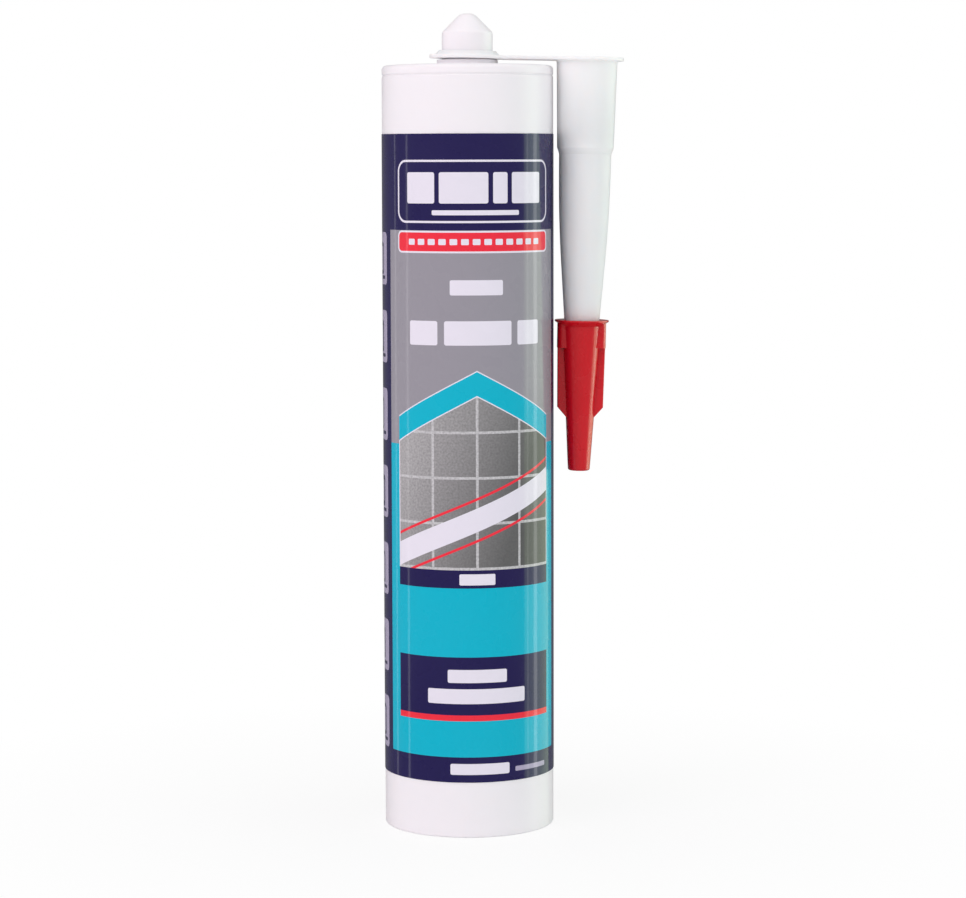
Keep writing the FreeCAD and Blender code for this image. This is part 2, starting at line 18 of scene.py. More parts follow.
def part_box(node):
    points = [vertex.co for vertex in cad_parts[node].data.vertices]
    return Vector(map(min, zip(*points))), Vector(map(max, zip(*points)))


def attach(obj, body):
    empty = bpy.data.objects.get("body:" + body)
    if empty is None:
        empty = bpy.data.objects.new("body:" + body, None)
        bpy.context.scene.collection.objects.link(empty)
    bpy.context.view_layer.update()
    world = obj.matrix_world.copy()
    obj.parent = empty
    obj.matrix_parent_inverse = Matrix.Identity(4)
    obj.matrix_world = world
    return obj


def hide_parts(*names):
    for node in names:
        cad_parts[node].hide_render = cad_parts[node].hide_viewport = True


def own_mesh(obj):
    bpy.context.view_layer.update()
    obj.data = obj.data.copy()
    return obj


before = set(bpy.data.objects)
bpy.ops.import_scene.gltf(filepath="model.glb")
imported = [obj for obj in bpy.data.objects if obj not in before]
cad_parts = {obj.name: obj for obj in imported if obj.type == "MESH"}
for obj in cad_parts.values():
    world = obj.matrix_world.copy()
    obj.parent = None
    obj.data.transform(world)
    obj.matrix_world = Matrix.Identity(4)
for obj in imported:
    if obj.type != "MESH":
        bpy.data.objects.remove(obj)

LOG = logging.getLogger("cartridge")
MM = 0.001
Colour = tuple[float, float, float]
Point = tuple[float, float]
Socket = bpy.types.NodeSocket
Value = Socket | float | int | tuple


def srgb(red: int, green: int, blue: int) -> Colour:
    """Turn a display colour into the linear one that shaders use.

    Args:
        red: Red from 0 to 255.
        green: Green from 0 to 255.
        blue: Blue from 0 to 255.

    Returns:
        The linear colour.
    """
    def linear(level: int) -> float:
        """Undo the display curve of one channel."""
        share = level / 255
        return share / 12.92 if share <= 0.04045 else ((share + 0.055) / 1.055) ** 2.4

    return linear(red), linear(green), linear(blue)


class Graph:
    """A node tree with short ways to add nodes and join them."""

    def __init__(self, tree: bpy.types.NodeTree) -> None:
        """Hold the tree that nodes are added to."""
        self.tree = tree

    def node(self, kind: str, **settings: object) -> bpy.types.Node:
        """Add a node.

        Args:
            kind: Node type, such as ShaderNodeMath.
            settings: Attributes to set on the node.

        Returns:
            The new node.
        """
        made = self.tree.nodes.new(kind)
        for name, setting in settings.items():
            setattr(made, name, setting)
        return made

    def feed(self, socket: Socket, value: Value) -> None:
        """Link a socket to another node's output, or set its plain value."""
        if isinstance(value, bpy.types.NodeSocket):
            self.tree.links.new(value, socket)
        elif isinstance(value, tuple) and len(value) == 3 and len(socket.default_value) == 4:
            socket.default_value = (*value, 1.0)
        else:
            socket.default_value = value

    def math(self, operation: str, *values: Value, clamp: bool = False) -> Socket:
        """Add a Math node and return its result."""
        made = self.node("ShaderNodeMath", operation=operation, use_clamp=clamp)
        for socket, value in zip(made.inputs, values):
            self.feed(socket, value)
        return made.outputs[0]

    def mix(self, share: Value, under: Value, over: Value) -> Socket:
        """Lay one colour over another by a mask and return the mixed colour."""
        made = self.node("ShaderNodeMix", data_type="RGBA")
        self.feed(made.inputs["Factor"], share)
        self.feed(made.inputs[6], under)
        self.feed(made.inputs[7], over)
        return made.outputs[2]

    def span(self, value: Value, start: Value, finish: Value, low: Value, high: Value) -> Socket:
        """Remap a value from start..finish to low..high, clamped."""
        made = self.node("ShaderNodeMapRange", clamp=True)
        for socket, each in zip(made.inputs, (value, start, finish, low, high)):
            self.feed(socket, each)
        return made.outputs[0]

    def group(self, tree: bpy.types.NodeTree, **values: Value) -> bpy.types.Node:
        """Place a node group and feed its inputs, named with underscores for spaces."""
        made = self.node("ShaderNodeGroup", node_tree=tree)
        for name, value in values.items():
            self.feed(made.inputs[name.replace("_", " ")], value)
        return made


def new_group(name: str, inputs: dict[str, str], outputs: dict[str, str]) -> tuple[Graph, dict, dict]:
    """Start a shader node group.

    Args:
        name: The group's name.
        inputs: Kind of socket, Float, Vector or Color, by input name.
        outputs: The same for its outputs.

    Returns:
        Its graph, its input sockets by name, and its output sockets by name.
    """
    tree = bpy.data.node_groups.new(name, "ShaderNodeTree")
    for sockets, way in ((inputs, "INPUT"), (outputs, "OUTPUT")):
        for label, kind in sockets.items():
            tree.interface.new_socket(label, in_out=way, socket_type=f"NodeSocket{kind}")
    graph = Graph(tree)
    entry = graph.node("NodeGroupInput")
    leave = graph.node("NodeGroupOutput")
    return graph, {key: entry.outputs[key] for key in inputs}, {key: leave.inputs[key] for key in outputs}


def make_moulded_surface() -> bpy.types.NodeTree:
    """Build the group for a moulded plastic's slow sinks, fine grain and handling rub.

    Returns:
        The node group: Place, Sink Scale and Grain Scale in; Tone, Rub and Height out.
    """
    graph, inside, outside = new_group(
        "Moulded surface",
        {"Place": "Vector", "Sink Scale": "Float", "Grain Scale": "Float"},
        {"Tone": "Float", "Rub": "Float", "Height": "Float"},
    )
    sink = graph.node("ShaderNodeTexNoise")
    graph.feed(sink.inputs["Vector"], inside["Place"])
    graph.feed(sink.inputs["Scale"], inside["Sink Scale"])
    sink.inputs["Detail"].default_value = 1.5
    grain = graph.node("ShaderNodeTexNoise")
    graph.feed(grain.inputs["Vector"], inside["Place"])
    graph.feed(grain.inputs["Scale"], inside["Grain Scale"])
    grain.inputs["Detail"].default_value = 4.0
    rub = graph.node("ShaderNodeTexNoise")
    graph.feed(rub.inputs["Vector"], inside["Place"])
    graph.feed(rub.inputs["Scale"], graph.math("MULTIPLY", inside["Sink Scale"], 3.7))
    rub.inputs["Detail"].default_value = 6.0
    graph.feed(outside["Tone"], graph.span(sink.outputs["Fac"], 0.3, 0.7, 0.0, 1.0))
    graph.feed(outside["Rub"], graph.span(rub.outputs["Fac"], 0.42, 0.72, 0.0, 1.0))
    fine = graph.math("MULTIPLY", grain.outputs["Fac"], 0.12)
    graph.feed(outside["Height"], graph.math("ADD", sink.outputs["Fac"], fine))
    return graph.tree


def make_printed_panel() -> bpy.types.NodeTree:
    """Build the group for a printed rectangle with round corners and an outline.

    Returns:
        The node group: a place and the panel's edges in; Inside and Edge masks out.
    """
    graph, inside, outside = new_group(
        "Printed panel",
        {name: "Float" for name in ("Across", "Up", "Left", "Right", "Bottom", "Top", "Corner", "Line")},
        {"Inside": "Float", "Edge": "Float"},
    )

    def beyond(place: Socket, low: Socket, high: Socket) -> Socket:
        """Distance past the flat part of one pair of edges."""
        middle = graph.math("MULTIPLY", graph.math("ADD", low, high), 0.5)
        half = graph.math("MULTIPLY", graph.math("SUBTRACT", high, low), 0.5)
        away = graph.math("ABSOLUTE", graph.math("SUBTRACT", place, middle))
        return graph.math("ADD", graph.math("SUBTRACT", away, half), inside["Corner"])

    side = beyond(inside["Across"], inside["Left"], inside["Right"])
    end = beyond(inside["Up"], inside["Bottom"], inside["Top"])
    outer_side = graph.math("MAXIMUM", side, 0.0)
    outer_end = graph.math("MAXIMUM", end, 0.0)
    square = graph.math("MULTIPLY", outer_side, outer_side)
    corner = graph.math("SQRT", graph.math("MULTIPLY_ADD", outer_end, outer_end, square))
    inner = graph.math("MINIMUM", graph.math("MAXIMUM", side, end), 0.0)
    distance = graph.math("SUBTRACT", graph.math("ADD", corner, inner), inside["Corner"])
    filled = graph.math("LESS_THAN", distance, 0.0)
    graph.feed(outside["Inside"], filled)
    near = graph.math("GREATER_THAN", graph.math("ADD", distance, inside["Line"]), 0.0)
    graph.feed(outside["Edge"], graph.math("MULTIPLY", near, filled))
    return graph.tree


def make_printed_rows() -> bpy.types.NodeTree:
    """Build the group for a block of plain rows of dashes in place of small print.

    Returns:
        The node group: a place, the block's edges and its row sizes in; a mask out.
    """
    names = ("Across", "Up", "Left", "Right", "Bottom", "Top", "Pitch", "Height", "Word")
    graph, inside, outside = new_group("Printed rows", {name: "Float" for name in names}, {"Mask": "Float"})
    from_top = graph.math("DIVIDE", graph.math("SUBTRACT", inside["Top"], inside["Up"]), inside["Pitch"])
    row = graph.math("FLOOR", from_top)
    in_row = graph.math("MULTIPLY", graph.math("SUBTRACT", from_top, row), inside["Pitch"])
    on_row = graph.math("LESS_THAN", in_row, inside["Height"])
    luck = graph.node("ShaderNodeTexWhiteNoise", noise_dimensions="1D")
    graph.feed(luck.inputs["W"], row)
    shifted = graph.math("MULTIPLY_ADD", luck.outputs["Value"], inside["Word"], inside["Across"])
    word = graph.math("DIVIDE", graph.math("SUBTRACT", shifted, inside["Left"]), inside["Word"])
    number = graph.math("FLOOR", word)
    place = graph.node("ShaderNodeCombineXYZ")
    graph.feed(place.inputs[0], number)
    graph.feed(place.inputs[1], row)
    chance = graph.node("ShaderNodeTexWhiteNoise", noise_dimensions="2D")
    graph.feed(chance.inputs["Vector"], place.outputs[0])
    length = graph.span(chance.outputs["Value"], 0.0, 1.0, 0.35, 1.15)
    on_word = graph.math("LESS_THAN", graph.math("SUBTRACT", word, number), length)
    mask = graph.math("MULTIPLY", on_row, on_word)
    ragged = graph.math("MULTIPLY_ADD", graph.math("POWER", luck.outputs["Value"], 4.0), -9.0, inside["Right"])
    for low, place_in, high in (
        (inside["Left"], inside["Across"], ragged), (inside["Bottom"], inside["Up"], inside["Top"])
    ):
        mask = graph.math("MULTIPLY", mask, graph.math("GREATER_THAN", place_in, low))
        mask = graph.math("MULTIPLY", mask, graph.math("LESS_THAN", place_in, high))
    graph.feed(outside["Mask"], mask)
    return graph.tree


@dataclass(frozen=True)
class Effects:
    """The shared shader groups, each built once."""

    surface: bpy.types.NodeTree = field(default_factory=make_moulded_surface)
    panel: bpy.types.NodeTree = field(default_factory=make_printed_panel)
    rows: bpy.types.NodeTree = field(default_factory=make_printed_rows)


def new_material(name: str) -> tuple[bpy.types.Material, Graph, bpy.types.Node]:
    """Start a material.

    Args:
        name: The material's name.

    Returns:
        The material, its graph and its Principled shader.
    """
    material = bpy.data.materials.new(name)
    material.use_nodes = True
    graph = Graph(material.node_tree)
    shader = material.node_tree.nodes["Principled BSDF"]
    return material, graph, shader


@dataclass(frozen=True)
class Moulding:
    """The finish of a moulded plastic piece.

    Attributes:
        name: The material's name.
        colour: Linear colour of the plastic.
        shade: Linear colour where the moulding is thicker or duller.
        roughness: Roughness where it is cleanest.
        rubbed: Roughness where it has been handled.
        sink_scale: Scale of its slow waves.
        grain_scale: Scale of its fine grain.
        relief: Height of waves and grain, in metres.
        glow: Share of light that wanders through the plastic.
        depth: How far that light wanders, in metres.
        coat: Weight of a clear glossy skin.
        shine: Strength of its own reflections, 0.5 for plain plastic.
    """

    name: str
    colour: Colour
    shade: Colour
    roughness: float
    rubbed: float
    sink_scale: float = 60.0
    grain_scale: float = 2600.0
    relief: float = 0.02 * MM
    glow: float = 0.0
    depth: float = 1.0 * MM
    coat: float = 0.0
    shine: float = 0.5

    def material(self, effects: Effects) -> bpy.types.Material:
        """Build the material from the shared surface group."""
        made, graph, shader = new_material(self.name)
        place = graph.node("ShaderNodeTexCoord").outputs["Object"]
        surface = graph.group(
            effects.surface, Place=place, Sink_Scale=self.sink_scale, Grain_Scale=self.grain_scale
        )
        colour = graph.mix(surface.outputs["Tone"], self.colour, self.shade)
        graph.feed(shader.inputs["Base Color"], colour)
        rough = graph.span(surface.outputs["Rub"], 0.0, 1.0, self.roughness, self.rubbed)
        graph.feed(shader.inputs["Roughness"], rough)
        bump = graph.node("ShaderNodeBump")
        bump.inputs["Distance"].default_value = self.relief
        graph.feed(bump.inputs["Height"], surface.outputs["Height"])
        graph.feed(shader.inputs["Normal"], bump.outputs["Normal"])
        shader.inputs["Subsurface Weight"].default_value = self.glow
        shader.inputs["Subsurface Scale"].default_value = self.depth
        shader.inputs["Subsurface Radius"].default_value = (1.0, 0.9, 0.85)
        shader.inputs["Specular IOR Level"].default_value = self.shine
        shader.inputs["Coat Weight"].default_value = self.coat
        shader.inputs["Coat Roughness"].default_value = 0.13
        return made


class Ink(Enum):
    """The inks of the label, as linear colours."""

    NAVY = srgb(34, 28, 80)
    GREY = srgb(152, 149, 158)
    TEAL = srgb(2, 181, 206)
    RED = srgb(240, 48, 66)
    PALE = srgb(232, 228, 240)
    LILAC = srgb(176, 168, 194)
    STONE = srgb(178, 176, 178)
    SLATE = srgb(84, 84, 84)
    MORTAR = srgb(206, 205, 208)


@dataclass(frozen=True)
class Panel:
    """A printed rectangle, in millimetres from the print's centre line and the rim.

    Attributes:
        left: Left edge.
        right: Right edge.
        bottom: Lower edge.
        top: Upper edge.
        ink: Its ink.
        corner: Radius of its corners.
        line: Width of its outline, or 0 where it is filled.
    """

    left: float
    right: float
    bottom: float
    top: float
    ink: Ink
    corner: float = 0.0
    line: float = 0.0


@dataclass(frozen=True)
class Rows:
    """A block of plain dashes in rows, in place of small print, in millimetres."""

    left: float
    right: float
    bottom: float
    top: float
    pitch: float = 2.6
    height: float = 1.1
    word: float = 6.0
    ink: Ink = Ink.PALE


@dataclass(frozen=True)
class PrintedFilm:
    """The glossy label's finish: colour fields, plain bars and a generic picture.

    Places are millimetres: across from the print's centre line along the film, and up
    from the barrel's rim.

    Attributes:
        centre: Print's centre line, to the right of the front.
        panel_half: Half the width of the front panel.
        inner_half: Half the width of what is printed on it.
        foot: Lower edge of the front panel.
        middle: Where grey meets teal.
        head: Upper edge of the front panel.
        roof: Top of the gable band.
        roof_slope: Fall of the gable for each millimetre across.
        roof_band: Height of the gable band.
        picture_foot: Lower edge of the picture.
    """

    centre: float = 2.6
    panel_half: float = 29.9
    inner_half: float = 25.5
    foot: float = 23.5
    middle: float = 113.1
    head: float = 174.3
    roof: float = 134.3
    roof_slope: float = 0.525
    roof_band: float = 6.8
    picture_foot: float = 77.6

    def fields(self) -> list[Panel]:
        """The large fields that everything else is printed over."""
        half = self.panel_half
        return [
            Panel(-half, half, self.middle, self.head, Ink.GREY),
            Panel(-half, half, self.foot, self.middle, Ink.TEAL),
        ]

    def panels(self) -> list[Panel]:
        """The bands, boxes and bars of the front, and the side's column of tiles."""
        inner = self.inner_half
        front = [
            Panel(-inner, inner, 176.4, 194.2, Ink.PALE, corner=3.4, line=0.6),
            Panel(-21.4, -12.2, 181.9, 190.7, Ink.PALE, corner=0.6),
            Panel(-10.8, 3.4, 181.9, 190.7, Ink.PALE, corner=0.6),
            Panel(4.8, 9.2, 181.9, 190.7, Ink.PALE, corner=0.6),
            Panel(10.6, 21.4, 181.9, 190.7, Ink.PALE, corner=0.6),
            Panel(-13.0, 13.0, 178.6, 180.0, Ink.PALE, corner=0.4),
            Panel(-inner, inner, 167.9, 174.2, Ink.PALE, corner=1.6),
            Panel(-inner + 0.5, inner - 0.5, 168.4, 173.7, Ink.RED, corner=1.2),
            Panel(-7.7, 7.7, 156.0, 160.3, Ink.PALE, corner=0.5),
            Panel(-20.6, -11.4, 141.8, 148.7, Ink.PALE, corner=0.6),
            Panel(-9.4, 10.4, 141.8, 148.7, Ink.PALE, corner=0.6),
            Panel(12.4, 20.6, 141.8, 148.7, Ink.PALE, corner=0.6),
            Panel(-inner, inner, 72.4, self.picture_foot, Ink.NAVY),
            Panel(-5.2, 5.2, 73.3, 76.5, Ink.PALE, corner=0.4),
            Panel(-inner, inner, 35.7, 52.5, Ink.NAVY),
            Panel(-inner, inner, 34.0, 35.7, Ink.RED),
            Panel(-8.7, 8.7, 45.1, 48.9, Ink.PALE, corner=0.5),
            Panel(-14.8, 14.8, 39.0, 43.3, Ink.PALE, corner=0.5),
            Panel(-8.0, 9.5, 18.4, 21.6, Ink.PALE, corner=0.5),
            Panel(11.5, 24.0, 18.8, 20.2, Ink.LILAC, corner=0.3),
        ]
        banner_bars = [
            Panel(3.3 * step - 1.1, 3.3 * step + 1.1, 170.2, 171.9, Ink.PALE, corner=0.3) for step in range(-6, 7)
        ]
        return front + banner_bars + self.side_tiles()

    def side_tiles(self) -> list[Panel]:
        """A column of tiles on the left side, each with a plain mark."""
        tile, pitch, top = 15.1, 22.5, 173.5
        right = -32.8
        tiles = []
        for number in range(7):
            upper = top - number * pitch
            lower = upper - tile
            tiles.append(Panel(right - tile, right, lower, upper, Ink.LILAC, corner=1.4))
            inset = 3.2 + 0.6 * (number % 3)
            thick = 1.0 + 0.5 * (number % 2)
            tiles.append(Panel(right - tile + inset, right - inset, lower + 3.0, upper - 3.0, Ink.NAVY, 1.0, thick))
            tiles.append(Panel(right - 6.0, right - 1.6, lower + 1.6, lower + 2.6, Ink.NAVY, corner=0.4))
        return tiles

    def small_print(self) -> list[Rows]:
        """Blocks of dashes on the sides and back."""
        return [
            Rows(39.0, 66.0, 112.0, 190.0),
            Rows(39.0, 66.0, 34.0, 104.0, pitch=2.3, height=0.9, word=4.6),
            Rows(-70.0, -52.5, 96.0, 190.0, pitch=2.3, height=0.9, word=4.2),
            Rows(-70.0, -52.5, 28.0, 88.0, pitch=3.0, height=1.2, word=5.4),
        ]

    def material(self, effects: Effects, radius: float) -> bpy.types.Material:
        """Build the printed film's material.

        Args:
            effects: The shared shader groups.
            radius: Outside radius of the label, in metres.

        Returns:
            The material.
        """
        made, graph, shader = new_material("label_film")
        coordinates = graph.node("ShaderNodeTexCoord").outputs["Object"]
        split = graph.node("ShaderNodeSeparateXYZ")
        graph.feed(split.inputs[0], coordinates)
        front = graph.math("MULTIPLY", split.outputs["Y"], -1.0)
        turn = graph.math("ARCTAN2", split.outputs["X"], front)
        across = graph.math("SUBTRACT", graph.math("MULTIPLY", turn, radius / MM), self.centre)
        up = graph.math("DIVIDE", split.outputs["Z"], MM)

        colour = self.paint_panels(graph, effects, across, up, Ink.NAVY.value, self.fields())
        colour = self.paint_gable(graph, across, up, colour)
        colour = self.paint_panels(graph, effects, across, up, colour, self.panels())
        colour = self.paint_rows(graph, effects, across, up, colour)

        surface = graph.group(effects.surface, Place=coordinates, Sink_Scale=35.0, Grain_Scale=900.0)
        dot = graph.span(surface.outputs["Tone"], 0.0, 1.0, 0.0, 0.012)
        graph.feed(shader.inputs["Base Color"], graph.mix(dot, colour, Ink.LILAC.value))
        rough = graph.span(surface.outputs["Rub"], 0.0, 1.0, 0.26, 0.34)
        graph.feed(shader.inputs["Roughness"], rough)
        bump = graph.node("ShaderNodeBump")
        bump.inputs["Distance"].default_value = 0.02 * MM
        graph.feed(bump.inputs["Height"], surface.outputs["Height"])
        graph.feed(shader.inputs["Normal"], bump.outputs["Normal"])
        shader.inputs["Specular IOR Level"].default_value = 0.1
        shader.inputs["Coat Weight"].default_value = 0.5
        shader.inputs["Coat Roughness"].default_value = 0.07
        return made

    def paint_panels(
        self, graph: Graph, effects: Effects, across: Socket, up: Socket, colour: Value, panels: list[Panel]
    ) -> Socket:
        """Print panels one over the other.

        Args:
            graph: The label's graph.
            effects: The shared shader groups.
            across: Place along the film.
            up: Height above the rim.
            colour: What is printed so far.
            panels: The panels, lowest first.

        Returns:
            The colour with the panels on it.
        """
        for panel in panels:
            shape = graph.group(
                effects.panel, Across=across, Up=up, Left=panel.left, Right=panel.right,
                Bottom=panel.bottom, Top=panel.top, Corner=panel.corner, Line=panel.line,
            )
            mask = shape.outputs["Edge" if panel.line else "Inside"]
            colour = graph.mix(mask, colour, panel.ink.value)
        return colour

    def paint_rows(self, graph: Graph, effects: Effects, across: Socket, up: Socket, colour: Value) -> Socket:
        """Print the blocks of dashes and return the colour with them on it."""
        for block in self.small_print():
            rows = graph.group(
                effects.rows, Across=across, Up=up, Left=block.left, Right=block.right,
                Bottom=block.bottom, Top=block.top, Pitch=block.pitch, Height=block.height, Word=block.word,
            )
            colour = graph.mix(rows.outputs["Mask"], colour, block.ink.value)
        return colour

    def paint_gable(self, graph: Graph, across: Socket, up: Socket, colour: Value) -> Socket:
        """Print the gable band and, under it, a generic picture of a tiled wall.

        Args:
            graph: The label's graph.
            across: Place along the film.
            up: Height above the rim.
            colour: What is printed so far.

        Returns:
            The colour with the band and the picture on it.
        """
        away = graph.math("ABSOLUTE", across)
        within = graph.math("LESS_THAN", away, self.inner_half)
        roof = graph.math("MULTIPLY_ADD", away, -self.roof_slope, self.roof)
        above_foot = graph.math("GREATER_THAN", up, self.picture_foot)
        on_front = graph.math("MULTIPLY", within, above_foot)

        def below(height: float) -> Socket:
            """Mask of what lies under the gable, lowered by a height."""
            edge = graph.math("SUBTRACT", roof, height)
            return graph.math("MULTIPLY", on_front, graph.math("LESS_THAN", up, edge))

        hairline = 0.35
        colour = graph.mix(below(-hairline), colour, Ink.PALE.value)
        colour = graph.mix(below(0.0), colour, Ink.TEAL.value)
        colour = graph.mix(below(self.roof_band), colour, Ink.PALE.value)
        inner = graph.math("LESS_THAN", away, self.inner_half - hairline)
        picture = graph.math("MULTIPLY", below(self.roof_band + hairline), inner)
        return graph.mix(picture, colour, self.paint_wall(graph, across, up))

    def paint_wall(self, graph: Graph, across: Socket, up: Socket) -> Socket:
        """A generic grey tiled wall with a pale sloping bar and a red rule."""
        place = graph.node("ShaderNodeCombineXYZ")
        graph.feed(place.inputs[0], across)
        graph.feed(place.inputs[1], up)
        bricks = graph.node("ShaderNodeTexBrick", offset=0.0)
        graph.feed(bricks.inputs["Vector"], place.outputs[0])
        slope = graph.math("MULTIPLY_ADD", up, -0.35, across)
        shade = graph.span(slope, -60.0, -20.0, 0.0, 1.0)
        stone = graph.mix(shade, Ink.STONE.value, Ink.SLATE.value)
        graph.feed(bricks.inputs["Color1"], stone)
        graph.feed(bricks.inputs["Color2"], graph.mix(0.12, stone, (0.6, 0.6, 0.6)))
        graph.feed(bricks.inputs["Mortar"], Ink.MORTAR.value)
        for name, value in (("Scale", 1.0), ("Brick Width", 13.0), ("Row Height", 13.0), ("Mortar Size", 0.4)):
            bricks.inputs[name].default_value = value
        speck = graph.node("ShaderNodeTexNoise")
        graph.feed(speck.inputs["Vector"], place.outputs[0])
        speck.inputs["Scale"].default_value = 1.6
        speck.inputs["Detail"].default_value = 8.0
        dust = graph.span(speck.outputs["Fac"], 0.35, 0.7, 0.0, 0.4)
        stone = graph.mix(dust, bricks.outputs["Color"], Ink.SLATE.value)
        slant = graph.math("MULTIPLY_ADD", across, 0.42, graph.math("MULTIPLY", up, -1.0))
        for height, width, ink in ((92.0, 3.4, Ink.PALE), (98.0, 0.4, Ink.RED), (86.0, 0.4, Ink.RED)):
            off = graph.math("ABSOLUTE", graph.math("ADD", slant, height))
            stone = graph.mix(graph.math("LESS_THAN", off, width), stone, ink.value)
        return stone


def arc_corner(before: Point, corner: Point, after: Point, radius: float, steps: int) -> list[Point]:
    """Replace an outline's corner by an arc.

    Args:
        before: The point before the corner.
        corner: The corner.
        after: The point after the corner.
        radius: Radius of the arc.
        steps: Number of chords in it.

    Returns:
        The arc's points, in order.
    """
    here = Vector(corner)
    back = (Vector(before) - here).normalized()
    ahead = (Vector(after) - here).normalized()
    half = back.angle(ahead) / 2
    run = radius / math.tan(half)
    middle = here + (back + ahead).normalized() * (radius / math.sin(half))
    start = here + back * run - middle
    finish = here + ahead * run - middle
    sweep = math.atan2(start.x * finish.y - start.y * finish.x, start.dot(finish))
    points = []
    for step in range(steps + 1):
        turn = sweep * step / steps
        across = start.x * math.cos(turn) - start.y * math.sin(turn)
        up = start.x * math.sin(turn) + start.y * math.cos(turn)
        points.append((middle.x + across, middle.y + up))
    return points


def rounded(corners: list[tuple[float, float, float]], steps: int = 8) -> list[Point]:
    """Round an open outline.

    Args:
        corners: (radius from the axis, height, rounding) of each corner.
        steps: Number of chords in each rounding.

    Returns:
        The outline's points.
    """
    places = [(across, up) for across, up, _ in corners]
    points: list[Point] = []
    for index, (across, up, radius) in enumerate(corners):
        if radius and 0 < index < len(corners) - 1:
            points += arc_corner(places[index - 1], places[index], places[index + 1], radius, steps)
        else:
            points.append((across, up))
    return points


def new_piece(
    name: str, places: list[tuple], faces: list[tuple], material: bpy.types.Material, crease: float = 32.0
) -> bpy.types.Object:
    """Make a piece from its points and faces.

    Args:
        name: The piece's name.
        places: Its points, in metres.
        faces: Its faces, as point numbers.
        material: Its material.
        crease: Angle in degrees above which an edge stays sharp.

    Returns:
        The new object.
    """
    mesh = bpy.data.meshes.new(name)
    mesh.from_pydata(places, [], faces)
    mesh.validate()
    mesh.polygons.foreach_set("use_smooth", [True] * len(mesh.polygons))
    mesh.set_sharp_from_angle(angle=math.radians(crease))
    mesh.materials.append(material)
    piece = bpy.data.objects.new(name, mesh)
    bpy.context.scene.collection.objects.link(piece)
    return piece


def lathe(name: str, outline: list[Point], material: bpy.types.Material, steps: int = 192) -> bpy.types.Object:
    """Turn an outline that starts and ends on the Z axis into a closed piece.

    Args:
        name: The piece's name.
        outline: (radius, height) points, in metres.
        material: Its material.
        steps: Number of sides all round.

    Returns:
        The new object.
    """
    places: list[tuple] = []
    rings: list[list[int]] = []
    for across, up in outline:
        first = len(places)
        if across < 1e-9:
            places.append((0.0, 0.0, up))
            rings.append([first] * steps)
            continue
        for step in range(steps):
            turn = 2 * math.pi * step / steps
            places.append((across * math.cos(turn), across * math.sin(turn), up))
        rings.append(list(range(first, first + steps)))
    faces = []
    for upper, lower in zip(rings, rings[1:]):
        for step in range(steps):
            after = (step + 1) % steps
            corners = (upper[step], lower[step], lower[after], upper[after])
            face = tuple(dict.fromkeys(corners))
            if len(face) > 2:
                faces.append(face)
    return new_piece(name, places, faces, material)


def dress(node: str, material: bpy.types.Material) -> bpy.types.Object:
    """Give a carried-over CAD piece its finish and return it."""
    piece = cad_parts[node]
    for slot in piece.material_slots:
        slot.material = material
    return piece


